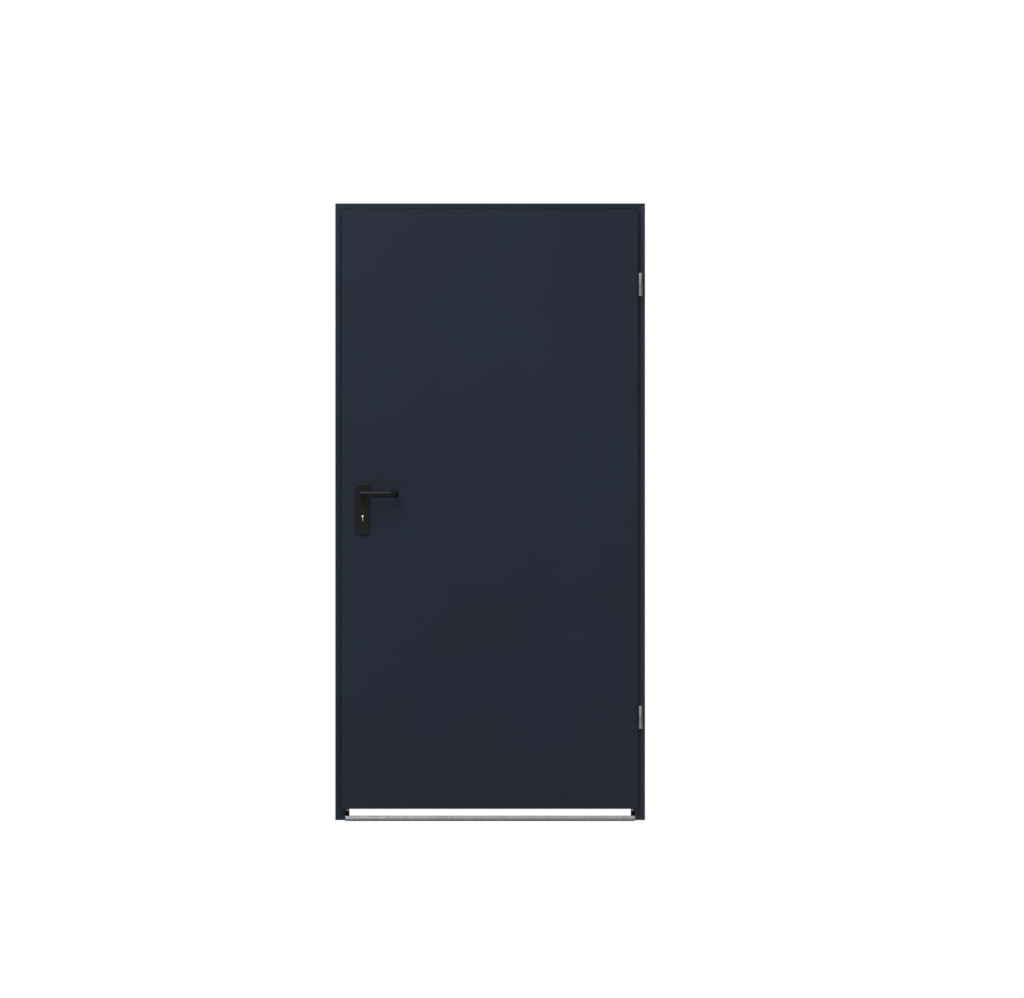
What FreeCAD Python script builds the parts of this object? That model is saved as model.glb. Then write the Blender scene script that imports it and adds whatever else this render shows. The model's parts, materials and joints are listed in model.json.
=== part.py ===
import FreeCAD, Part
import math
import os

# A rebated steel service door in a three-sided corner frame, closed, all sizes in millimetres.
# X runs to the right as seen from the opening side, Y runs into the wall, Z runs up.
# The origin lies under the middle of the floor bar, in the plane of the wall's front face.
# A section is written as (outward from the clear opening, into the wall).

Vector = FreeCAD.Vector

# Frame
clear_width = 930.0
clear_height = 1995.0
jamb_foot = 3.0
frame_sheet = 1.5
stop_width = 14.0
face_width = 33.0
face_stand_off = 10.0
rebate_depth = 26.0
lining_depth = 60.0
back_return = 15.0

# Seal in the groove of the stop
groove_width = 4.5
groove_depth = 7.0
groove_edge = 4.0
seal_width = 13.0
seal_web = 1.4
seal_play = 0.5
seal_foot_play = 0.2
seal_foot_depth = 5.0
seal_hollow_radius = 1.3
seal_overrun = 6.0

# Floor bar between the jambs
bar_sheet = 2.0
bar_height = 18.0
bar_riser = 7.5
bar_lean = 3.5
bar_front_setback = 3.0
bar_stop_gap = 1.0
bar_top_leg = 6.0
bar_fixing_radius = 3.5
bar_fixing_spacing = 600.0
bar_fixing_from_stop = 8.0

# Wall anchors
reveal_gap = 35.0
anchor_sheet = 2.5
anchor_height = 30.0
anchor_foot = 28.0
anchor_foot_start = 14.0
anchor_leg = 54.0
anchor_hole_radius = 5.5
anchor_hole_from_end = 17.0
anchor_count = 3
anchor_from_floor = 230.0
anchor_from_head = 85.0

# Leaf
leaf_thickness = 40.0
lip_thickness = 15.0
lip_gap = 5.0
lock_lip = 20.0
hinge_lip = 17.0
top_lip = 18.5
side_gap = 6.0
top_gap = 6.0
leaf_foot = 40.0
leaf_sheet = 1.0
leaf_edge_radius = 2.0
pan_flange = 8.0
rail_sheet = 1.5
rail_height = 30.0

# Hinges
barrel_radius = 6.5
pin_radius = 4.0
pin_play = 0.08
pin_reach = 30.0
pin_end_play = 2.0
hinge_from_floor = 342.0
hinge_from_top = 230.0
leaf_knuckle = 39.0
frame_knuckle = 37.0
knuckle_play = 0.1
hinge_tab = 2.4
axis_stand_off = 6.0
tab_end_gap = 1.0
slot_play = 0.2
frame_tab_inside = 5.0
pocket_sheet = 3.0
pocket_height = 110.0
pocket_margin = 2.5

# Lock
backset = 51.0
lock_plane = -1.0
lock_case_thickness = 15.0
lock_case_depth = 72.0
lock_case_height = 165.0
case_above_lever = 45.0
faceplate_width = 18.0
faceplate_height = 235.0
faceplate_thickness = 3.0
faceplate_above_lever = 82.0
bolt_thickness = 10.0
latch_height = 32.0
latch_drop = 8.0
latch_bevel = 7.0
dead_bolt_height = 30.0
dead_bolt_rise = 4.0
bolt_length = 34.0
keep_play = 0.9
keep_depth = 17.0
keep_sheet = 1.0
keep_margin = 8.0

# Lever furniture
lever_height = 1080.0
key_drop = 72.0
spindle_size = 9.0
spindle_play = 0.9
plate_width = 48.0
plate_height = 170.0
plate_above_lever = 35.0
plate_thickness = 8.0
plate_corner = 15.0
plate_bevel = 2.5
neck_radius = 9.5
neck_play = 0.08
grip_radius = 10.9
hub_radius = 11.8
hub_width = 25.0
hub_overhang = 10.4
hub_bevel = 1.2
lever_reach = 120.0
lever_stand_off = 46.0
lever_tip_bend = 20.0
lever_tip_gap = 14.0
spindle_socket = 26.0
passage_play = 1.5
key_radius = 2.8
key_slot_top = 2.0
key_slot_foot = 2.5
key_foot_drop = 14.8

# Places that follow from the sizes
half_clear = clear_width / 2
half_rebate = half_clear + stop_width
frame_reach = stop_width + face_width
frame_top = clear_height + frame_reach
face_front = -face_stand_off
face_back = face_front + frame_sheet
stop_front = face_front + rebate_depth
frame_back = stop_front + lining_depth
lip_back = face_front - lip_gap
leaf_front = lip_back - lip_thickness
leaf_back = leaf_front + leaf_thickness
body_edge = half_rebate - side_gap
lock_lip_edge = body_edge + lock_lip
hinge_lip_edge = body_edge + hinge_lip
body_top = clear_height + stop_width - top_gap
leaf_top = body_top + top_lip
hinge_x = hinge_lip_edge + barrel_radius
hinge_y = leaf_front - axis_stand_off
lever_x = -body_edge + backset
key_height = lever_height - key_drop
half_reveal = half_clear + reveal_gap


def box(x0, x1, y0, y1, z0, z1):
    """A block between two corners."""
    return Part.makeBox(x1 - x0, y1 - y0, z1 - z0, Vector(x0, y0, z0))


def rod_through(x, z, radius, y0, y1):
    """A round bar along the depth of the door."""
    return Part.makeCylinder(radius, y1 - y0, Vector(x, y0, z), Vector(0, 1, 0))


def post(radius, z0, z1):
    """A round bar standing on the hinge axis."""
    return Part.makeCylinder(radius, z1 - z0, Vector(hinge_x, hinge_y, z0))


def offset_run(points, offset, middle_radius):
    """Lines and arcs beside a folded middle line, at a sideways offset from it."""
    spots = [Vector(u, v, 0) for u, v in points]
    ways = [(b - a).normalize() for a, b in zip(spots, spots[1:])]
    sides = [Vector(-way.y, way.x, 0) for way in ways]
    runs = []
    here = spots[0] + sides[0] * offset
    for index in range(1, len(spots) - 1):
        before, after = ways[index - 1], ways[index]
        hand = 1 if before.cross(after).z > 0 else -1
        setback = middle_radius * math.tan(before.getAngle(after) / 2)
        bend_start = spots[index] - before * setback
        bend_end = spots[index] + after * setback
        centre = bend_start + sides[index - 1] * hand * middle_radius
        to_corner = (spots[index] - centre).normalize()
        arc_start = bend_start + sides[index - 1] * offset
        arc_end = bend_end + sides[index] * offset
        runs.append((here, arc_start))
        radius = middle_radius - hand * offset
        if radius > 0:
            runs.append((arc_start, centre + to_corner * radius, arc_end))
        here = arc_end
    runs.append((here, spots[-1] + sides[-1] * offset))
    return runs


def face_of(runs, place):
    """A flat face inside lines of two points and arcs of three, with place setting each point in space."""
    edges = []
    for run in runs:
        spots = [place(spot.x, spot.y) for spot in run]
        if len(spots) == 3:
            edges.append(Part.Arc(*spots).toShape())
        else:
            edges.append(Part.LineSegment(*spots).toShape())
    return Part.Face(Part.Wire(Part.__sortEdges__(edges)))


def folded_face(points, sheet, place):
    """The section of a tightly folded sheet whose middle line runs through the points."""
    left = offset_run(points, sheet / 2, sheet / 2)
    right = offset_run(points, -sheet / 2, sheet / 2)
    ends = [(left[0][0], right[0][0]), (left[-1][-1], right[-1][-1])]
    return face_of(left + right + ends, place)


def prism(points, place, way):
    """A straight-sided outline pulled along a way."""
    spots = [place(u, v) for u, v in points]
    return Part.Face(Part.makePolygon(spots + spots[:1])).extrude(way)


def mitre_wedge(keep_upright):
    """What is cut off at the right top corner, past the 45 degree mitre."""
    span = 2 * frame_reach
    low = (half_clear - span, clear_height - span)
    high = (half_clear + span, clear_height + span)
    third = (low[0], high[1]) if keep_upright else (high[0], low[1])
    depth = frame_back - leaf_front
    return prism([low, high, third], lambda x, z: Vector(x, leaf_front, z), Vector(0, depth, 0))


def mirrored(shape):
    """The same piece on the left side of the door."""
    return shape.mirror(Vector(0, 0, 0), Vector(1, 0, 0))


def upright(make_face, foot):
    """A section run up the right side of the opening, mitred at its top."""
    face = make_face(lambda u, v: Vector(half_clear + u, v, foot))
    return face.extrude(Vector(0, 0, frame_top - foot)).cut(mitre_wedge(True))


def crossing(make_face):
    """The same section run across the top of the opening, mitred at both ends."""
    half_span = half_clear + frame_reach
    face = make_face(lambda u, v: Vector(-half_span, v, clear_height + u))
    bar = face.extrude(Vector(2 * half_span, 0, 0))
    wedge = mitre_wedge(False)
    return bar.cut(wedge).cut(mirrored(wedge))


def frame_face(place):
    """Folded frame section: wall return, face, rebate, stop with its groove, lining and back return."""
    half = frame_sheet / 2
    outer = frame_reach - half
    rebate = stop_width + half
    groove_outer = groove_edge + groove_width + frame_sheet + half
    groove_inner = groove_edge + half
    stop = stop_front + half
    groove_floor = stop_front + groove_depth + half
    back = frame_back - half
    points = [
        (outer, 0),
        (outer, face_front + half),
        (rebate, face_front + half),
        (rebate, stop),
        (groove_outer, stop),
        (groove_outer, groove_floor),
        (groove_inner, groove_floor),
        (groove_inner, stop),
        (half, stop),
        (half, back),
        (back_return, back),
    ]
    return folded_face(points, frame_sheet, place)


def seal_face(place):
    """Rubber seal: a flat web on the stop, a hollow bulb towards the leaf and a foot in the groove."""
    groove_start = groove_edge + frame_sheet
    middle = groove_start + groove_width / 2
    foot_half = groove_width / 2 - seal_foot_play
    foot_end = stop_front + seal_foot_depth
    web_front = stop_front - seal_web
    crown = leaf_back + seal_play
    inner = (stop_width - seal_width) / 2
    outer = inner + seal_width
    outline = [
        (Vector(inner, stop_front, 0), Vector(inner, web_front, 0)),
        (Vector(inner, web_front, 0), Vector(middle, crown, 0), Vector(outer, web_front, 0)),
        (Vector(outer, web_front, 0), Vector(outer, stop_front, 0)),
        (Vector(outer, stop_front, 0), Vector(middle + foot_half, stop_front, 0)),
        (Vector(middle + foot_half, stop_front, 0), Vector(middle + foot_half, foot_end, 0)),
        (Vector(middle + foot_half, foot_end, 0), Vector(middle - foot_half, foot_end, 0)),
        (Vector(middle - foot_half, foot_end, 0), Vector(middle - foot_half, stop_front, 0)),
        (Vector(middle - foot_half, stop_front, 0), Vector(inner, stop_front, 0)),
    ]
    hollow_y = (crown + stop_front) / 2
    left = Vector(middle - seal_hollow_radius, hollow_y, 0)
    right = Vector(middle + seal_hollow_radius, hollow_y, 0)
    near = Vector(middle, hollow_y - seal_hollow_radius, 0)
    far = Vector(middle, hollow_y + seal_hollow_radius, 0)
    hollow = face_of([(left, near, right), (right, far, left)], place)
    return face_of(outline, place).cut(hollow).Faces[0]


def make_jambs():
    """Both jambs, with the hinge slots in one and the keep holes in the other."""
    plain = upright(frame_face, jamb_foot)
    hinge_jamb = plain
    for z in hinge_heights():
        hinge_jamb = hinge_jamb.cut(hinge_slot(z))
    lock_jamb = mirrored(plain)
    for z0, z1 in bolt_spans():
        y0, y1 = bolt_depths(keep_play)
        hole = box(-half_rebate - frame_sheet, -half_rebate, y0, y1, z0 - keep_play, z1 + keep_play)
        lock_jamb = lock_jamb.cut(hole)
    return {"hinge_jamb": hinge_jamb, "lock_jamb": lock_jamb, "frame_head": crossing(frame_face)}


def make_seals():
    """Seals in the stop, which end a little below the leaf."""
    side = upright(seal_face, leaf_foot - seal_overrun)
    return {"hinge_side_seal": side, "lock_side_seal": mirrored(side), "head_seal": crossing(seal_face)}


def make_floor_bar():
    """Folded bar on the raw floor that ties the jambs, with its upper half leaning back."""
    half = bar_sheet / 2
    front = face_front + bar_front_setback + half
    rear = stop_front - bar_stop_gap
    points = [
        (rear, half),
        (front, half),
        (front, bar_riser),
        (front + bar_lean, bar_height - half),
        (front + bar_lean + bar_top_leg, bar_height - half),
    ]
    face = folded_face(points, bar_sheet, lambda v, w: Vector(-half_rebate, v, w))
    bar = face.extrude(Vector(2 * half_rebate, 0, 0))
    hole_y = stop_front - bar_fixing_from_stop
    for x in (-bar_fixing_spacing / 2, bar_fixing_spacing / 2):
        bar = bar.cut(Part.makeCylinder(bar_fixing_radius, bar_height, Vector(x, hole_y, 0)))
    return {"floor_bar": bar}


def make_anchors():
    """Stepped straps welded to the linings and screwed to the sides of the wall opening."""
    lining = half_clear + frame_sheet
    start = stop_front + anchor_foot_start
    step = start + anchor_foot
    end = step + anchor_leg
    foot_line = [(lining, start), (lining + anchor_sheet, start), (lining + anchor_sheet, step)]
    leg_line = [(half_reveal, step), (half_reveal, end), (half_reveal - anchor_sheet, end)]
    inside_step = [(half_reveal - anchor_sheet, step + anchor_sheet), (lining, step + anchor_sheet)]
    outline = foot_line + leg_line + inside_step
    first = anchor_from_floor
    spacing = (clear_height - anchor_from_head - first) / (anchor_count - 1)
    straps = []
    for number in range(anchor_count):
        z = first + number * spacing
        foot = z - anchor_height / 2
        strap = prism(outline, lambda x, y: Vector(x, y, foot), Vector(0, 0, anchor_height))
        centre = Vector(half_reveal - anchor_sheet, end - anchor_hole_from_end, z)
        hole = Part.makeCylinder(anchor_hole_radius, anchor_sheet, centre, Vector(1, 0, 0))
        straps.append(strap.cut(hole))
    row = Part.makeCompound(straps)
    return {"hinge_side_anchors": row, "lock_side_anchors": mirrored(row)}


def hinge_heights():
    """Heights of the two hinge joints."""
    return (hinge_from_floor, body_top - hinge_from_top)


def hinge_tab_span(play):
    """Left and right faces of the frame part's tab, with an even play on both."""
    right = hinge_x + barrel_radius
    return right - hinge_tab - play, right + play


def hinge_slot(z):
    """Slot for the frame part's tab, through the frame's face and the pocket behind it."""
    x0, x1 = hinge_tab_span(slot_play)
    foot = z - frame_knuckle - slot_play
    return box(x0, x1, face_front, face_back + pocket_sheet, foot, z + slot_play)


def make_hinge(z):
    """One two-part barrel hinge whose upper knuckle is on the leaf, with its joint at height z."""
    frame_foot_z = z - frame_knuckle
    leaf_foot_z = z + knuckle_play
    leaf_top_z = z + leaf_knuckle
    x0, x1 = hinge_tab_span(0)
    tab_back = face_back + frame_tab_inside
    frame_tab = box(x0, x1, hinge_y, tab_back, frame_foot_z, z)
    frame_part = post(barrel_radius, frame_foot_z, z).fuse(frame_tab)
    frame_part = frame_part.cut(post(pin_radius, frame_foot_z, z))
    tab_left = hinge_lip_edge
    leaf_tab = box(tab_left, tab_left + hinge_tab, hinge_y, lip_back - tab_end_gap, leaf_foot_z, leaf_top_z)
    leaf_part = post(barrel_radius, leaf_foot_z, leaf_top_z).fuse(leaf_tab)
    bore_top = z + pin_reach + pin_end_play
    leaf_part = leaf_part.cut(post(pin_radius + pin_play, leaf_foot_z, bore_top))
    pocket_x0 = half_rebate + frame_sheet
    pocket_x1 = half_clear + frame_reach - frame_sheet
    pocket_foot = z - (pocket_height + frame_knuckle) / 2
    pocket = box(
        pocket_x0 + pocket_margin,
        pocket_x1 - pocket_margin,
        face_back,
        face_back + pocket_sheet,
        pocket_foot,
        pocket_foot + pocket_height,
    )
    return {
        "hinge_frame_part": frame_part.removeSplitter(),
        "hinge_leaf_part": leaf_part.removeSplitter(),
        "hinge_pin": post(pin_radius, frame_foot_z, z + pin_reach),
        "hinge_pocket": pocket.cut(hinge_slot(z)),
    }


def make_hinges():
    """The lower and the upper hinge."""
    pieces = {}
    for place, z in zip(("lower", "upper"), hinge_heights()):
        for name, shape in make_hinge(z).items():
            pieces[f"{place}_{name}"] = shape
    return pieces


def lever_hole(radius, y0, y1):
    """Round passage on the lever's axis."""
    return rod_through(lever_x, lever_height, radius, y0, y1)


def keyhole(y0, y1):
    """Warded keyhole of the plates: a round head with a slot below it that widens to its foot."""
    foot = key_height - key_foot_drop
    points = [
        (lever_x - key_slot_top / 2, key_height),
        (lever_x + key_slot_top / 2, key_height),
        (lever_x + key_slot_foot / 2, foot),
        (lever_x - key_slot_foot / 2, foot),
    ]
    slot = prism(points, lambda x, z: Vector(x, y0, z), Vector(0, y1 - y0, 0))
    return rod_through(lever_x, key_height, key_radius, y0, y1).fuse(slot)


def key_passage():
    """The key's way through the leaf, wider than the keyholes of the plates."""
    half = key_radius + passage_play
    foot = key_height - key_foot_drop - passage_play
    return box(lever_x - half, lever_x + half, leaf_front, leaf_back, foot, key_height + half)


def passages():
    """The lever's and the key's way through both skins."""
    return lever_hole(neck_radius + passage_play, leaf_front, leaf_back).fuse(key_passage())


def rounded(block, radius, is_bend):
    """The block with the chosen straight edges rounded."""
    edges = [edge for edge in block.Edges if is_bend(edge)]
    return block.makeFillet(radius, edges)


def lies_at(edge, axis, value):
    """Whether a straight edge lies wholly at one value of an axis."""
    return all(abs(getattr(vertex.Point, axis) - value) < 0.01 for vertex in edge.Vertexes)


def make_front_skin():
    """Front pan of the leaf: its face, and lips folded back and in again on the sides and top."""
    outer = box(-lock_lip_edge, hinge_lip_edge, leaf_front, lip_back, leaf_foot, leaf_top)
    outer = rounded(outer, leaf_edge_radius, lambda edge: lies_at(edge, "y", leaf_front))
    inner = box(
        -lock_lip_edge + leaf_sheet,
        hinge_lip_edge - leaf_sheet,
        leaf_front + leaf_sheet,
        lip_back - leaf_sheet,
        leaf_foot + leaf_sheet,
        leaf_top - leaf_sheet,
    )
    window = box(-body_edge, body_edge, lip_back - leaf_sheet, lip_back, leaf_foot + leaf_sheet, body_top)
    return outer.cut(inner).cut(window).cut(passages())


def make_back_skin():
    """Back pan of the leaf, with flanges that lie inside the lips."""
    pan_front = lip_back - leaf_sheet
    outer = box(-body_edge, body_edge, pan_front, leaf_back, leaf_foot + leaf_sheet, body_top)
    bottom_lap = box(-body_edge, body_edge, lip_back, leaf_back, leaf_foot, leaf_foot + leaf_sheet)
    outer = outer.fuse(bottom_lap).removeSplitter()
    outer = rounded(outer, leaf_edge_radius, lambda edge: lies_at(edge, "y", leaf_back))
    inner = box(
        -body_edge + leaf_sheet,
        body_edge - leaf_sheet,
        pan_front - leaf_sheet,
        leaf_back - leaf_sheet,
        leaf_foot + leaf_sheet,
        body_top - leaf_sheet,
    )
    flange = box(
        -body_edge - pan_flange,
        body_edge + pan_flange,
        pan_front - leaf_sheet,
        pan_front,
        leaf_foot + leaf_sheet,
        body_top + pan_flange,
    )
    pan = outer.fuse(flange).cut(inner).removeSplitter()
    return pan.cut(faceplate_block()).cut(passages())


def faceplate_block():
    """Space of the lock's faceplate in the edge of the leaf."""
    half = faceplate_width / 2
    top = lever_height + faceplate_above_lever
    return box(
        -body_edge,
        -body_edge + faceplate_thickness,
        lock_plane - half,
        lock_plane + half,
        top - faceplate_height,
        top,
    )


def lock_case_block():
    """Space of the lock case behind its faceplate."""
    half = lock_case_thickness / 2
    top = lever_height + case_above_lever
    front = -body_edge + faceplate_thickness
    back = front + lock_case_depth
    return box(front, back, lock_plane - half, lock_plane + half, top - lock_case_height, top)


def bolt_spans():
    """Bottom and top of the latch bolt and of the dead bolt."""
    latch_middle = lever_height - latch_drop
    dead_middle = key_height + dead_bolt_rise
    return (
        (latch_middle - latch_height / 2, latch_middle + latch_height / 2),
        (dead_middle - dead_bolt_height / 2, dead_middle + dead_bolt_height / 2),
    )


def bolt_depths(play):
    """Front and back faces of both bolts, with an even play on both."""
    half = bolt_thickness / 2 + play
    return lock_plane - half, lock_plane + half


def bolt_block(span):
    """Space of one bolt, drawn back until its end is flush with the faceplate."""
    y0, y1 = bolt_depths(0)
    return box(-body_edge, -body_edge + bolt_length, y0, y1, span[0], span[1])


def make_lock():
    """Mortise lock with both bolts drawn back, and the box behind the jamb that they would enter."""
    latch_span, dead_span = bolt_spans()
    latch_block, dead_block = bolt_block(latch_span), bolt_block(dead_span)
    y0, y1 = bolt_depths(0)
    nose = [(-body_edge, y0), (-body_edge + latch_bevel, y0), (-body_edge, y0 + latch_bevel)]
    bevel = prism(nose, lambda x, y: Vector(x, y, latch_span[0]), Vector(0, 0, latch_height))
    case = lock_case_block().cut(latch_block).cut(dead_block)
    case = case.cut(lever_hole(spindle_size / math.sqrt(2) + spindle_play, leaf_front, leaf_back))
    keep_y0, keep_y1 = bolt_depths(keep_play)
    keep_x = -half_rebate - frame_sheet
    low, high = dead_span[0] - keep_margin, latch_span[1] + keep_margin
    keep = box(keep_x - keep_depth, keep_x, keep_y0 - keep_sheet, keep_y1 + keep_sheet, low, high)
    hollow = box(
        keep_x - keep_depth + keep_sheet, keep_x, keep_y0, keep_y1, low + keep_sheet, high - keep_sheet
    )
    return {
        "lock_case": case.cut(key_passage()),
        "lock_faceplate": faceplate_block().cut(latch_block).cut(dead_block),
        "latch_bolt": latch_block.cut(bevel),
        "dead_bolt": dead_block,
        "keep_box": keep.cut(hollow),
    }


def make_core():
    """Core board between the skins, cut away for the lock, and the rail that stiffens its foot."""
    x = body_edge - leaf_sheet
    y0, y1 = leaf_front + leaf_sheet, leaf_back - leaf_sheet
    z0 = leaf_foot + leaf_sheet
    half = rail_sheet / 2
    points = [
        (y0 + half, z0 + rail_height),
        (y0 + half, z0 + half),
        (y1 - half, z0 + half),
        (y1 - half, z0 + rail_height),
    ]
    rail_face = folded_face(points, rail_sheet, lambda y, z: Vector(-x, y, z))
    core = box(-x, x, y0, y1, z0 + rail_height, body_top - leaf_sheet)
    case = lock_case_block().BoundBox
    lock_space = box(-body_edge, case.XMax, y0, y1, case.ZMin, case.ZMax).fuse(faceplate_block())
    return {"leaf_core": core.cut(lock_space), "leaf_foot_rail": rail_face.extrude(Vector(2 * x, 0, 0))}


def make_plate():
    """Short backplate on the front, with the bearing of the lever's neck and the keyhole."""
    top = lever_height + plate_above_lever
    plate_front = leaf_front - plate_thickness
    half = plate_width / 2
    plate = box(lever_x - half, lever_x + half, plate_front, leaf_front, top - plate_height, top)
    corners = [edge for edge in plate.Edges if abs(edge.Length - plate_thickness) < 0.01]
    plate = plate.makeFillet(plate_corner, corners)
    rim = [edge for edge in plate.Edges if lies_at(edge, "y", plate_front)]
    plate = plate.makeChamfer(plate_bevel, rim)
    bearing = lever_hole(neck_radius + neck_play, plate_front, leaf_front)
    return plate.cut(bearing).cut(keyhole(plate_front, leaf_front))


def make_lever():
    """Lever on the front: a neck, a hub across its end and a round grip whose tip returns to the leaf."""
    grip_y = leaf_front - plate_thickness - lever_stand_off
    tip_x = lever_x + lever_reach - grip_radius
    tip_y = leaf_front - lever_tip_gap

    def spot(x, y):
        return Vector(x, y, lever_height)

    bend_start = spot(tip_x - lever_tip_bend, grip_y)
    bend_centre = spot(tip_x - lever_tip_bend, grip_y + lever_tip_bend)
    bend_middle = bend_centre + Vector(1, -1, 0).normalize() * lever_tip_bend
    bend_end = spot(tip_x, grip_y + lever_tip_bend)
    path = Part.Wire(
        [
            Part.LineSegment(spot(lever_x, grip_y), bend_start).toShape(),
            Part.Arc(bend_start, bend_middle, bend_end).toShape(),
            Part.LineSegment(bend_end, spot(tip_x, tip_y)).toShape(),
        ]
    )
    ring = Part.Wire(Part.makeCircle(grip_radius, spot(lever_x, grip_y), Vector(1, 0, 0)))
    grip = path.makePipeShell([ring], True, False)
    hub = Part.makeCylinder(hub_radius, hub_width, spot(lever_x - hub_overhang, grip_y), Vector(1, 0, 0))
    hub_rim = [edge for edge in hub.Edges if lies_at(edge, "x", lever_x - hub_overhang)]
    hub = hub.makeChamfer(hub_bevel, hub_rim)
    lever = grip.fuse(hub).fuse(lever_hole(neck_radius, grip_y, leaf_front))
    return lever.cut(spindle_block()).removeSplitter()


def spindle_block():
    """Square spindle from one lever's socket to the other's."""
    half = spindle_size / 2
    reach = plate_thickness + spindle_socket
    return box(
        lever_x - half,
        lever_x + half,
        leaf_front - reach,
        leaf_back + reach,
        lever_height - half,
        lever_height + half,
    )


def on_back(shape):
    """The same piece on the other side of the leaf."""
    return shape.mirror(Vector(0, (leaf_front + leaf_back) / 2, 0), Vector(0, 1, 0))


def make_furniture():
    """Plates, levers and the spindle that joins the levers."""
    plate, lever = make_plate(), make_lever()
    return {
        "front_handle_plate": plate,
        "back_handle_plate": on_back(plate),
        "front_lever": lever,
        "back_lever": on_back(lever),
        "spindle": spindle_block(),
    }


def make_door():
    """Every piece of the door by name."""
    pieces = {"leaf_front_skin": make_front_skin(), "leaf_back_skin": make_back_skin()}
    for group in (
        make_jambs,
        make_seals,
        make_floor_bar,
        make_anchors,
        make_hinges,
        make_lock,
        make_core,
        make_furniture,
    ):
        pieces.update(group())
    return pieces


os.makedirs("parts", exist_ok=True)
for node, shape in make_door().items():
    shape.exportStep(f"parts/{node}.step")
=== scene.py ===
import json
import math

import bmesh
import bpy
from mathutils import Matrix, Vector


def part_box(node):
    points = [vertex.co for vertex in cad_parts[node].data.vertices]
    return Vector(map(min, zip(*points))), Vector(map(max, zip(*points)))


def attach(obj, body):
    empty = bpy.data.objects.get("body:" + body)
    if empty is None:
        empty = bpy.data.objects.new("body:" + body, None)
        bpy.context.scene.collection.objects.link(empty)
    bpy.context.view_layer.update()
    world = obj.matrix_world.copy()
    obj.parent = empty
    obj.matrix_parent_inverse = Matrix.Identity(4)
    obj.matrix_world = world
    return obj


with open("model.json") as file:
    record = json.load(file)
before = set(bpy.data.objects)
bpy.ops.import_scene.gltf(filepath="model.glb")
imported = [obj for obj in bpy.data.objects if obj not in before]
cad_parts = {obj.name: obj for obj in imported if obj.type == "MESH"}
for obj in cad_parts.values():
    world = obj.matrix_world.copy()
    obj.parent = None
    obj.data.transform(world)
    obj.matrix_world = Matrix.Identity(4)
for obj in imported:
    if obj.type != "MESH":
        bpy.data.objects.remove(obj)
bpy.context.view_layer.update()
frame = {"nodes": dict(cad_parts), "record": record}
nodes = frame["nodes"]

# Places read from the CAD model, in metres
spindle_low, spindle_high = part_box("spindle")
plate_low, plate_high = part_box("back_handle_plate")
leaf_low, leaf_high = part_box("leaf_front_skin")
faceplate_low, faceplate_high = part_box("lock_faceplate")
anchors_low, anchors_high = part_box("hinge_side_anchors")
pin_low, pin_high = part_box("upper_hinge_pin")
lever_axis = (spindle_low + spindle_high) / 2
lock_plane_y = (faceplate_low.y + faceplate_high.y) / 2
hinge_axis_x = (pin_low.x + pin_high.x) / 2
hinge_joint_heights = [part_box(f"{place}_hinge_frame_part")[1].z for place in ("lower", "upper")]
bar_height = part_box("floor_bar")[1].z

# Sizes of the lever, the keyway and the anchors, in metres
NECK_RADIUS = 0.0095
KEY_DROP = 0.072
KEYWAY_HALF_WIDTH = 0.0043
KEYWAY_FOOT_DROP = 0.0163
ANCHOR_COUNT = 3
ANCHOR_HEIGHT = 0.030
ANCHOR_FOOT_LENGTH = 0.028

# Screw heads as (radius, height), and where they sit, in metres
PLATE_SCREW = (0.0042, 0.0014)
PLATE_SCREW_SINK = 0.0004
UPPER_PLATE_SCREW_INSET = 0.012
LOWER_PLATE_SCREW_INSET = 0.014
FACEPLATE_SCREW = (0.0040, 0.0008)
FACEPLATE_SCREW_SINK = 0.0002
FACEPLATE_SCREW_INSET = 0.011
GRUB_SCREW = (0.0026, 0.0010)
GRUB_SCREW_SINK = 0.0006
GRUB_SCREW_FROM_PLATE = 0.014

# Weld beads, the tumbler and the painted shade at the leaf's rim, in metres
WELD_RADIUS = 0.0014
WELD_LIFT = 0.0005
WELD_FRONT_GAP = 0.003
WELD_BACK_GAP = 0.004
TUMBLER_THICKNESS = 0.0015
TUMBLER_PAST_AXIS = 0.0003
TUMBLER_HOLLOW_RADIUS = 0.0030
# Painted shade along the leaf's outline, on the leaf's edge and on the frame beside it
RIM_SHADE_WIDTH = 0.004

# Tones, as a share of a colour or as stops of (position, share)
# Share of the colour left at the leaf's outline by the painted shade
RIM_SHADE_SHARE = 0.3
HINGE_SIDE_SHADE_SHARE = 0.35
# Painted highlight and shade up the floor bar's height: darker at its foot, lighter at its top
BAR_PAINTED_LIGHT_TONES = ((0.0, 0.16), (0.28, 0.43), (0.47, 0.44), (0.65, 0.60), (0.83, 1.0), (1.0, 1.0))
FLOOR_TONES = ((0.3, 0.63), (0.7, 0.66))

# Camera and floor, in metres
PHOTO_CENTRE = (0.0722, 1.0647)
PHOTO_WIDTH = 3.3856
CAMERA_DISTANCE = 6.0
FLOOR_REACH = 60.0
FLOOR_DROP = 0.0005

# Light, where 1 is white
WHITE = (1.0, 1.0, 1.0)
FRONT_LEVEL = 0.25
OVERHEAD_LEVEL = 1.1
BEHIND_LEVEL = 1.0
BELOW_LEVEL = 0.80


# Materials
def new_material(name):
    """A node material, with its tree and its principled shader."""
    material = bpy.data.materials.new(name)
    material.use_nodes = True
    tree = material.node_tree
    return material, tree, tree.nodes["Principled BSDF"]


def place_of(tree, scale=(1, 1, 1)):
    """Object coordinates, multiplied by a scale along each axis."""
    where = tree.nodes.new("ShaderNodeTexCoord")
    mapping = tree.nodes.new("ShaderNodeMapping")
    mapping.inputs["Scale"].default_value = scale
    tree.links.new(where.outputs["Object"], mapping.inputs["Vector"])
    return mapping.outputs["Vector"]


def axes_of(tree, where):
    """The X, Y and Z of a place."""
    split = tree.nodes.new("ShaderNodeSeparateXYZ")
    tree.links.new(where, split.inputs["Vector"])
    return split.outputs


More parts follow.
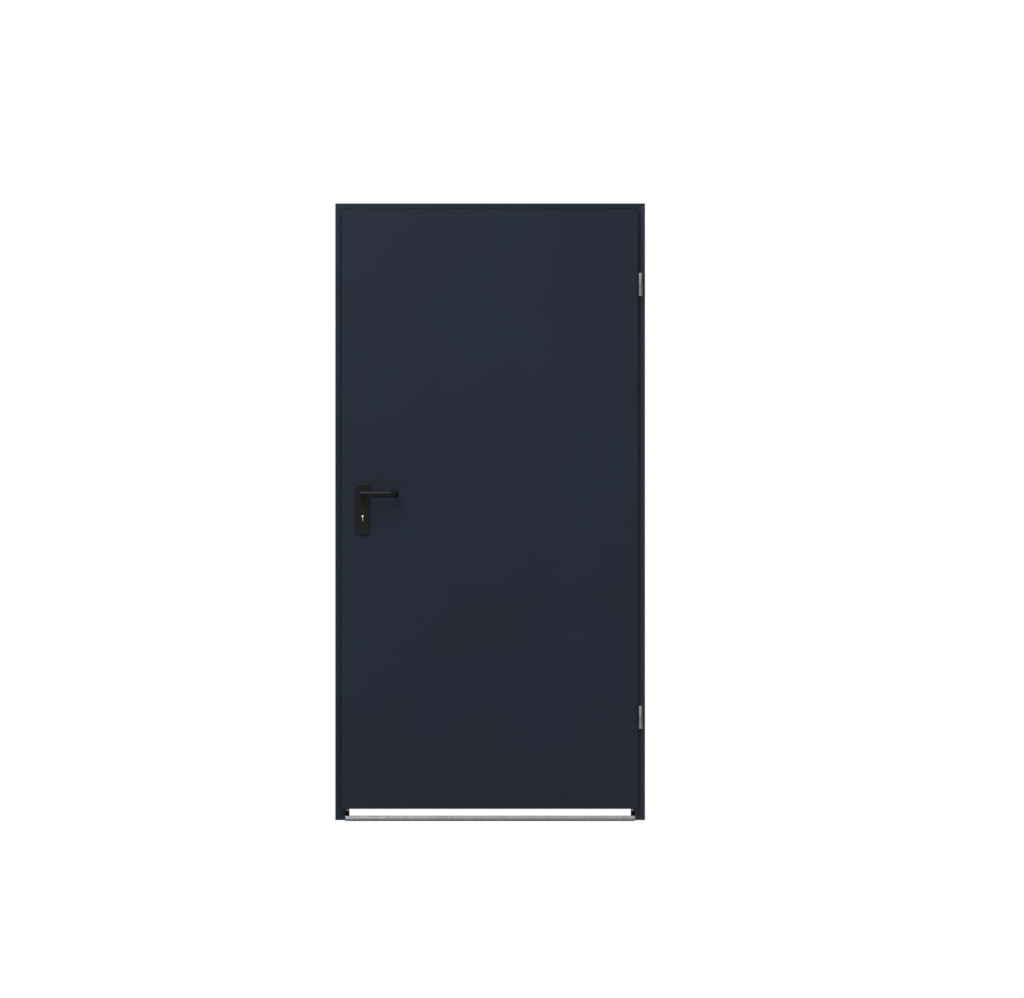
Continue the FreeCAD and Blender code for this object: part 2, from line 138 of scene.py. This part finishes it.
def noise(tree, where, scale, detail):
    """A noise value between 0 and 1."""
    node = tree.nodes.new("ShaderNodeTexNoise")
    node.inputs["Scale"].default_value = scale
    node.inputs["Detail"].default_value = detail
    tree.links.new(where, node.inputs["Vector"])
    return node.outputs["Fac"]


def streaks(tree, squeeze, scale, detail):
    """Noise drawn out along Z."""
    return noise(tree, place_of(tree, (1, 1, squeeze)), scale, detail)


def spread(tree, value, low, high, from_low=0.3, from_high=0.7):
    """A value between two limits, mapped to the range from low to high."""
    node = tree.nodes.new("ShaderNodeMapRange")
    node.inputs["From Min"].default_value = from_low
    node.inputs["From Max"].default_value = from_high
    node.inputs["To Min"].default_value = low
    node.inputs["To Max"].default_value = high
    tree.links.new(value, node.inputs["Value"])
    return node.outputs["Result"]


def calculate(tree, operation, first, second):
    """One sum on two numbers, each a socket or a plain value."""
    node = tree.nodes.new("ShaderNodeMath")
    node.operation = operation
    for socket, value in zip(node.inputs, (first, second)):
        if isinstance(value, bpy.types.NodeSocket):
            tree.links.new(value, socket)
        else:
            socket.default_value = value
    return node.outputs["Value"]


def distance(tree, value, target):
    """How far a value is from a target, on either side of it."""
    return calculate(tree, "ABSOLUTE", calculate(tree, "SUBTRACT", value, target), 0.0)


def tinted(tree, value, colour, shares):
    """A colour made darker or lighter along a value, by stops of (position, share)."""
    node = tree.nodes.new("ShaderNodeValToRGB")
    elements = node.color_ramp.elements
    while len(elements) < len(shares):
        elements.new(0.5)
    for element, (position, share) in zip(elements, shares):
        element.position = position
        element.color = (*[channel * share for channel in colour], 1)
    tree.links.new(value, node.inputs["Fac"])
    return node.outputs["Color"]


def dimmed(tree, colour, share):
    """A colour multiplied by a share."""
    node = tree.nodes.new("ShaderNodeVectorMath")
    node.operation = "SCALE"
    tree.links.new(colour, node.inputs["Vector"])
    tree.links.new(share, node.inputs["Scale"])
    return node.outputs["Vector"]


def connect(tree, shader, colour, roughness, bumps):
    """Leads colour, roughness and stacked bumps of (height, distance in metres, strength) to a shader."""
    tree.links.new(colour, shader.inputs["Base Color"])
    tree.links.new(roughness, shader.inputs["Roughness"])
    normal = None
    for height, reach, strength in bumps:
        node = tree.nodes.new("ShaderNodeBump")
        node.inputs["Distance"].default_value = reach
        node.inputs["Strength"].default_value = strength
        tree.links.new(height, node.inputs["Height"])
        if normal is not None:
            tree.links.new(normal, node.inputs["Normal"])
        normal = node.outputs["Normal"]
    tree.links.new(normal, shader.inputs["Normal"])


def leaf_rim(tree, where):
    """Distance to the outline of the leaf at its top and sides, on either side of it."""
    axes = axes_of(tree, where)
    right = calculate(tree, "SUBTRACT", axes["X"], leaf_high.x)
    left = calculate(tree, "SUBTRACT", leaf_low.x, axes["X"])
    top = calculate(tree, "SUBTRACT", axes["Z"], leaf_high.z)
    outward = calculate(tree, "MAXIMUM", calculate(tree, "MAXIMUM", right, left), top)
    return calculate(tree, "ABSOLUTE", outward, 0.0)


def make_paint(name, colour):
    """Powder coat: orange peel, a slow wave of the sheet, changes of tone, and painted shade along the
    leaf's outline.
    """
    material, tree, shader = new_material(name)
    where = place_of(tree)
    tone = noise(tree, where, scale=2.2, detail=2.0)
    grain = noise(tree, where, scale=1300.0, detail=2.0)
    peel = noise(tree, where, scale=420.0, detail=2.0)
    wave = noise(tree, where, scale=3.0, detail=1.0)
    paint = tinted(tree, tone, colour, ((0.35, 0.94), (0.65, 1.06)))
    # Painted shade: darker within a few millimetres of the leaf's outline, on the leaf and on the frame
    # beside it
    dust_and_rim_shade = spread(tree, leaf_rim(tree, where), RIM_SHADE_SHARE, 1.0, from_low=0.0, from_high=RIM_SHADE_WIDTH)
    bumps = [(wave, 0.0006, 0.3), (peel, 0.00005, 0.5), (grain, 0.00002, 0.4)]
    connect(tree, shader, dimmed(tree, paint, dust_and_rim_shade), spread(tree, peel, 0.42, 0.54), bumps)
    shader.inputs["Specular IOR Level"].default_value = 0.2
    return material


def make_galvanised(name, colour, tones=None):
    """Hot-dip zinc: spangles, rolling lines and a soft bloom, and any painted highlight and shade over the
    floor bar's height.
    """
    material, tree, shader = new_material(name)
    where = place_of(tree)
    cells = tree.nodes.new("ShaderNodeTexVoronoi")
    cells.inputs["Scale"].default_value = 130.0
    tree.links.new(where, cells.inputs["Vector"])
    spangle = tree.nodes.new("ShaderNodeRGBToBW")
    tree.links.new(cells.outputs["Color"], spangle.inputs["Color"])
    zinc = tinted(tree, spangle.outputs["Val"], colour, ((0.2, 0.92), (0.8, 1.07)))
    # Painted light and shade on the floor bar: a highlight towards its top, shade towards its foot
    if tones:
        rise = spread(tree, axes_of(tree, where)["Z"], 0.0, 1.0, from_low=0.0, from_high=bar_height)
        zinc = dimmed(tree, zinc, tinted(tree, rise, WHITE, tones))
    bloom = noise(tree, where, scale=60.0, detail=4.0)
    lines = streaks(tree, squeeze=0.02, scale=900.0, detail=2.0)
    bumps = [(lines, 0.00002, 0.3), (bloom, 0.00006, 0.3)]
    connect(tree, shader, zinc, spread(tree, bloom, 0.34, 0.52), bumps)
    shader.inputs["Metallic"].default_value = 1.0
    return material


def make_hinge_zinc(name, colour):
    """Zinc plating of the hinges: bright in front with painted shade on the barrel's sides, and darker
    towards each joint.
    """
    material, tree, shader = new_material(name)
    where = place_of(tree)
    axes = axes_of(tree, where)
    blotch = noise(tree, where, scale=110.0, detail=4.0)
    # Darker towards each joint, over a few centimetres
    lower, upper = [distance(tree, axes["Z"], height) for height in hinge_joint_heights]
    ragged = calculate(tree, "MULTIPLY", blotch, 0.012)
    from_joint = calculate(tree, "ADD", calculate(tree, "MINIMUM", lower, upper), ragged)
    joint_fade = spread(tree, from_joint, 0.0, 1.0, from_low=0.006, from_high=0.042)
    zinc = tinted(tree, joint_fade, colour, ((0.0, 0.68), (0.3, 0.88), (1.0, 1.12)))
    # Painted shade: the barrel darkens away from its axis, towards its sides
    across = distance(tree, axes["X"], hinge_axis_x)
    side = spread(tree, across, 1.0, HINGE_SIDE_SHADE_SHARE, from_low=0.002, from_high=0.006)
    lines = streaks(tree, squeeze=0.03, scale=1400.0, detail=2.0)
    bumps = [(lines, 0.00002, 0.3), (blotch, 0.00004, 0.3)]
    connect(tree, shader, dimmed(tree, zinc, side), spread(tree, blotch, 0.46, 0.62), bumps)
    shader.inputs["Specular Tint"].default_value = (0.2, 0.2, 0.2, 1)
    shader.inputs["Metallic"].default_value = 1.0
    return material


def make_bare_steel(name, colour):
    """Zinc-plated steel with fine lines from machining."""
    material, tree, shader = new_material(name)
    lines = streaks(tree, squeeze=0.03, scale=1600.0, detail=3.0)
    blotch = noise(tree, place_of(tree), scale=45.0, detail=3.0)
    steel = tinted(tree, blotch, colour, ((0.3, 0.9), (0.7, 1.08)))
    connect(tree, shader, steel, spread(tree, lines, 0.26, 0.42), [(lines, 0.00002, 0.4)])
    shader.inputs["Metallic"].default_value = 1.0
    return material


def make_plastic(name, colour):
    """Moulded plastic: fine spark-eroded grain and a faint change of gloss."""
    material, tree, shader = new_material(name)
    where = place_of(tree)
    grain = noise(tree, where, scale=1800.0, detail=2.0)
    sheen = noise(tree, where, scale=30.0, detail=2.0)
    plastic = tinted(tree, sheen, colour, ((0.3, 0.85), (0.7, 1.15)))
    connect(tree, shader, plastic, spread(tree, sheen, 0.36, 0.46), [(grain, 0.00003, 0.5)])
    shader.inputs["Specular IOR Level"].default_value = 0.15
    return material


def make_rubber(name, colour):
    """Extruded rubber: dull, with faint lines along Z and a dusty bloom."""
    material, tree, shader = new_material(name)
    lines = streaks(tree, squeeze=0.02, scale=1500.0, detail=2.0)
    dust_and_rim_shade = noise(tree, place_of(tree), scale=90.0, detail=4.0)
    rubber = tinted(tree, dust_and_rim_shade, colour, ((0.35, 0.9), (0.7, 1.08)))
    connect(tree, shader, rubber, spread(tree, dust_and_rim_shade, 0.62, 0.8), [(lines, 0.00004, 0.4)])
    shader.inputs["Specular IOR Level"].default_value = 0.3
    return material


def make_board(name, colour):
    """Core board: pressed paper fibre."""
    material, tree, shader = new_material(name)
    fibre = streaks(tree, squeeze=0.2, scale=500.0, detail=4.0)
    board = tinted(tree, fibre, colour, ((0.3, 0.85), (0.7, 1.1)))
    connect(tree, shader, board, spread(tree, fibre, 0.8, 0.95), [(fibre, 0.0002, 0.5)])
    return material


recipes = (
    ("leaf_paint", make_paint, (0.0087, 0.0145, 0.0278)),
    ("frame_paint", make_paint, (0.0086, 0.0194, 0.0318)),
    # The hinge jamb's copy of the frame paint is lighter: painted light on the hinge side of the frame
    ("hinge_jamb_paint", make_paint, (0.0213, 0.0295, 0.0437)),
    ("seal_rubber", make_rubber, (0.50, 0.50, 0.49)),
    ("galvanised_steel", make_galvanised, (0.345, 0.36, 0.37)),
    ("trodden_zinc", make_galvanised, (0.72, 0.75, 0.77), BAR_PAINTED_LIGHT_TONES),
    ("leaf_hinge_zinc", make_hinge_zinc, (0.37, 0.395, 0.42)),
    ("frame_hinge_zinc", make_hinge_zinc, (0.285, 0.305, 0.325)),
    ("bare_steel", make_bare_steel, (0.42, 0.42, 0.42)),
    # The levers' copy of the black plastic is darker than the plates' copy: painted shade for the levers'
    # undersides
    ("black_plastic", make_plastic, (0.0034, 0.0037, 0.0035)),
    ("plate_plastic", make_plastic, (0.0086, 0.0102, 0.0086)),
    ("core_board", make_board, (0.42, 0.32, 0.20)),
)
materials = {name: make(name, *details) for name, make, *details in recipes}

finish_of = {part["node"]: part["material_slot"] for part in frame["record"]["subparts"]}
# Painted light: the hinge jamb takes a lighter copy of the frame paint
finish_of["hinge_jamb"] = "hinge_jamb_paint"
# The floor bar's zinc carries painted highlight and shade over its height
finish_of["floor_bar"] = "trodden_zinc"
for side in ("front", "back"):
    # The plates take the lighter copy of the black plastic; the levers' darker copy is painted shade
    finish_of[f"{side}_handle_plate"] = "plate_plastic"
for place in ("lower", "upper"):
    finish_of[f"{place}_hinge_leaf_part"] = "leaf_hinge_zinc"
    finish_of[f"{place}_hinge_frame_part"] = "frame_hinge_zinc"
for name, node in nodes.items():
    node.data.materials.clear()
    node.data.materials.append(materials[finish_of[name]])


# Screws, welds and the tumbler
def new_piece(name, draw, slot, body):
    """A mesh piece that a function draws, with its material and the body that it rides on."""
    mesh = bpy.data.meshes.new(name)
    shape = bmesh.new()
    draw(shape)
    bmesh.ops.recalc_face_normals(shape, faces=shape.faces)
    shape.to_mesh(mesh)
    shape.free()
    for polygon in mesh.polygons:
        polygon.use_smooth = True
    mesh.set_sharp_from_angle(angle=math.radians(35))
    mesh.materials.append(materials[slot])
    piece = bpy.data.objects.new(name, mesh)
    bpy.context.scene.collection.objects.link(piece)
    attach(piece, body)


def turn_to(way):
    """Rotation that carries +Z to a way."""
    return Vector((0, 0, 1)).rotation_difference(Vector(way)).to_matrix().to_4x4()


def screw_head(spot, way, radius, height):
    """A domed head with a cross recess, whose seat is at the spot and whose top looks along the way."""
    rings = 14
    spokes = 48
    cross_half_width = radius * 0.13
    cross_reach = radius * 0.62
    cross_depth = height * 0.75
    dome_fall = 0.55
    dome_power = 2.4

    def top(x, y):
        """Height of the head over its seat."""
        dome = height * (1 - dome_fall * (math.hypot(x, y) / radius) ** dome_power)
        in_cross = min(abs(x), abs(y)) < cross_half_width and max(abs(x), abs(y)) < cross_reach
        return dome - (cross_depth if in_cross else 0)

    def draw(shape):
        place = Matrix.Translation(spot) @ turn_to(way)
        middle = shape.verts.new(place @ Vector((0, 0, top(0, 0))))
        loops = []
        for ring in range(1, rings + 1):
            reach = radius * ring / rings
            loop = []
            for spoke in range(spokes):
                angle = 2 * math.pi * spoke / spokes
                x = reach * math.cos(angle)
                y = reach * math.sin(angle)
                loop.append(shape.verts.new(place @ Vector((x, y, top(x, y)))))
            loops.append(loop)
        drop = place.to_3x3() @ Vector((0, 0, height))
        skirt = [shape.verts.new(vert.co - drop) for vert in loops[-1]]
        loops.append(skirt)
        for spoke in range(spokes):
            after = (spoke + 1) % spokes
            shape.faces.new((middle, loops[0][spoke], loops[0][after]))
            for inner, outer in zip(loops, loops[1:]):
                shape.faces.new((inner[spoke], outer[spoke], outer[after], inner[after]))
        shape.faces.new(skirt)

    return draw


def weld_bead(start, end, radius, across):
    """A rippled bead of weld, round in section, from start to end. The way across is square to it."""
    start, end, across = Vector(start), Vector(end), Vector(across)
    rings = 40
    spokes = 12
    ripples = 9
    ripple_share = 0.18
    end_power = 6
    end_share = 0.05
    side = (end - start).normalized().cross(across).normalized()

    def draw(shape):
        loops = []
        for ring in range(rings + 1):
            share = ring / rings
            swell = radius * (1 - ripple_share + ripple_share * math.cos(2 * math.pi * share * ripples))
            swell *= min(1.0, math.sqrt(max(0.0, 1 - (2 * share - 1) ** end_power)) + end_share)
            centre = start.lerp(end, share)
            loop = []
            for spoke in range(spokes):
                angle = 2 * math.pi * spoke / spokes
                spot = centre + (side * math.cos(angle) + across * math.sin(angle)) * swell
                loop.append(shape.verts.new(spot))
            loops.append(loop)
        for before, after in zip(loops, loops[1:]):
            for spoke in range(spokes):
                next_spoke = (spoke + 1) % spokes
                shape.faces.new((before[spoke], before[next_spoke], after[next_spoke], after[spoke]))
        shape.faces.new(loops[0])
        shape.faces.new(loops[-1])

    return draw


def tumbler_plate(shape):
    """The lock's tumbler in the keyway, whose top is hollowed for the key's shank."""
    key_z = lever_axis.z - KEY_DROP
    left_x = lever_axis.x - KEYWAY_HALF_WIDTH
    foot_z = key_z - KEYWAY_FOOT_DROP
    hollow_steps = 16
    hollow_start = math.asin(TUMBLER_PAST_AXIS / TUMBLER_HOLLOW_RADIUS)
    hollow_end = -math.radians(80)
    outline = [(left_x, foot_z), (lever_axis.x + TUMBLER_PAST_AXIS, foot_z)]
    for step in range(hollow_steps + 1):
        angle = hollow_start + (hollow_end - hollow_start) * step / hollow_steps
        x = lever_axis.x + TUMBLER_HOLLOW_RADIUS * math.sin(angle)
        z = key_z - TUMBLER_HOLLOW_RADIUS * math.cos(angle)
        outline.append((x, z))
    outline.append((left_x, outline[-1][1]))
    front = [shape.verts.new((x, lock_plane_y, z)) for x, z in outline]
    back = [shape.verts.new((x, lock_plane_y + TUMBLER_THICKNESS, z)) for x, z in outline]
    shape.faces.new(front)
    shape.faces.new(list(reversed(back)))
    for index in range(len(front)):
        after = (index + 1) % len(front)
        shape.faces.new((front[index], back[index], back[after], front[after]))


def add_screws():
    """Screws of the back plate and of the lock's faceplate, and the back lever's grub screw."""
    plate_y = plate_high.y - PLATE_SCREW_SINK
    upper_z = plate_high.z - UPPER_PLATE_SCREW_INSET
    lower_z = plate_low.z + LOWER_PLATE_SCREW_INSET
    for place, z in (("upper", upper_z), ("lower", lower_z)):
        head = screw_head((lever_axis.x, plate_y, z), (0, 1, 0), *PLATE_SCREW)
        new_piece(f"{place}_plate_screw", head, "bare_steel", "leaf")

    faceplate_x = faceplate_low.x + FACEPLATE_SCREW_SINK
    upper_z = faceplate_high.z - FACEPLATE_SCREW_INSET
    lower_z = faceplate_low.z + FACEPLATE_SCREW_INSET
    for place, z in (("upper", upper_z), ("lower", lower_z)):
        head = screw_head((faceplate_x, lock_plane_y, z), (-1, 0, 0), *FACEPLATE_SCREW)
        new_piece(f"{place}_faceplate_screw", head, "bare_steel", "leaf")

    grub_y = plate_high.y + GRUB_SCREW_FROM_PLATE
    grub_z = lever_axis.z - NECK_RADIUS + GRUB_SCREW_SINK
    head = screw_head((lever_axis.x, grub_y, grub_z), (0, 0, -1), *GRUB_SCREW)
    new_piece("back_lever_grub_screw", head, "bare_steel", "lever_set")


def add_anchor_welds():
    """Weld beads along both edges of each anchor's foot, on the back of the linings."""
    half_height = ANCHOR_HEIGHT / 2
    lowest = anchors_low.z + half_height
    spacing = (anchors_high.z - half_height - lowest) / (ANCHOR_COUNT - 1)
    start_y = anchors_low.y + WELD_FRONT_GAP
    end_y = anchors_low.y + ANCHOR_FOOT_LENGTH - WELD_BACK_GAP
    for side, sign in (("hinge", 1), ("lock", -1)):
        x = sign * (anchors_low.x + WELD_LIFT)
        for number in range(ANCHOR_COUNT):
            for edge, lift in (("upper", 1), ("lower", -1)):
                z = lowest + spacing * number + lift * half_height
                bead = weld_bead((x, start_y, z), (x, end_y, z), WELD_RADIUS, (-sign, 0, 0))
                new_piece(f"{side}_anchor_weld_{number + 1}_{edge}", bead, "bare_steel", "frame")


add_screws()
add_anchor_welds()
new_piece("lock_tumbler", tumbler_plate, "bare_steel", "leaf")


# Stage
def make_floor():
    """A pale floor that keeps the door's shadow."""
    material, tree, shader = new_material("pale_floor")
    tone = noise(tree, place_of(tree), scale=0.8, detail=3.0)
    tree.links.new(tinted(tree, tone, WHITE, FLOOR_TONES), shader.inputs["Base Color"])
    shader.inputs["Roughness"].default_value = 0.85
    shader.inputs["Specular IOR Level"].default_value = 0.2
    mesh = bpy.data.meshes.new("floor")
    corners = [(x * FLOOR_REACH, y * FLOOR_REACH, 0) for x, y in ((-1, -1), (1, -1), (1, 1), (-1, 1))]
    mesh.from_pydata(corners, [], [(0, 1, 2, 3)])
    mesh.materials.append(material)
    floor = bpy.data.objects.new("floor", mesh)
    floor.location.z = -FLOOR_DROP
    bpy.context.scene.collection.objects.link(floor)


def make_world():
    """Surroundings: white behind the door and overhead, dim in front of it, pale as the floor below."""
    world = bpy.data.worlds.new("studio")
    bpy.context.scene.world = world
    world.use_nodes = True
    tree = world.node_tree
    where = tree.nodes.new("ShaderNodeTexCoord")
    axes = axes_of(tree, where.outputs["Generated"])
    level = spread(tree, axes["Z"], FRONT_LEVEL, OVERHEAD_LEVEL, from_low=0.1, from_high=0.8)
    for axis, low, high, target in (("Y", 0.3, 0.7, BEHIND_LEVEL), ("Z", -0.04, -0.08, BELOW_LEVEL)):
        mix = tree.nodes.new("ShaderNodeMix")
        mix.inputs["B"].default_value = target
        tree.links.new(level, mix.inputs["A"])
        tree.links.new(spread(tree, axes[axis], 0.0, 1.0, low, high), mix.inputs["Factor"])
        level = mix.outputs["Result"]
    background = tree.nodes["Background"]
    tree.links.new(level, background.inputs["Color"])
    background.inputs["Strength"].default_value = 1.0


def add_lamp(name, spot, target, size, watts, colour):
    """A soft square lamp that looks at a target."""
    light = bpy.data.lights.new(name, "AREA")
    light.shape = "SQUARE"
    light.size = size
    light.energy = watts
    light.color = colour
    lamp = bpy.data.objects.new(name, light)
    lamp.location = spot
    lamp.rotation_euler = (Vector(target) - Vector(spot)).to_track_quat("-Z", "Y").to_euler()
    bpy.context.scene.collection.objects.link(lamp)


def add_lamps():
    """The main light, a small one over the lever, and a faint pink one at the leaf's upper left."""
    add_lamp("key_lamp", (-2.1, -4.3, 7.4), (0, 0, 1.1), size=3.2, watts=280.0, colour=WHITE)
    add_lamp("top_lamp", (-0.3, -0.45, 4.8), (-0.3, -0.1, 0.0), size=1.2, watts=26.0, colour=WHITE)
    add_lamp("glow_lamp", (-1.2, -2.6, 2.8), (-0.4, 0, 1.9), size=0.8, watts=14.0, colour=(1.0, 0.85, 0.95))


def make_camera():
    """Straight-on view without perspective, framed as the photograph."""
    data = bpy.data.cameras.new("camera")
    data.type = "ORTHO"
    data.ortho_scale = PHOTO_WIDTH
    data.clip_end = 100.0
    camera = bpy.data.objects.new("camera", data)
    camera.location = (PHOTO_CENTRE[0], -CAMERA_DISTANCE, PHOTO_CENTRE[1])
    camera.rotation_euler = (math.radians(90), 0, 0)
    bpy.context.scene.collection.objects.link(camera)
    bpy.context.scene.camera = camera


make_floor()
make_world()
add_lamps()
make_camera()
bpy.context.scene.view_settings.view_transform = "Standard"
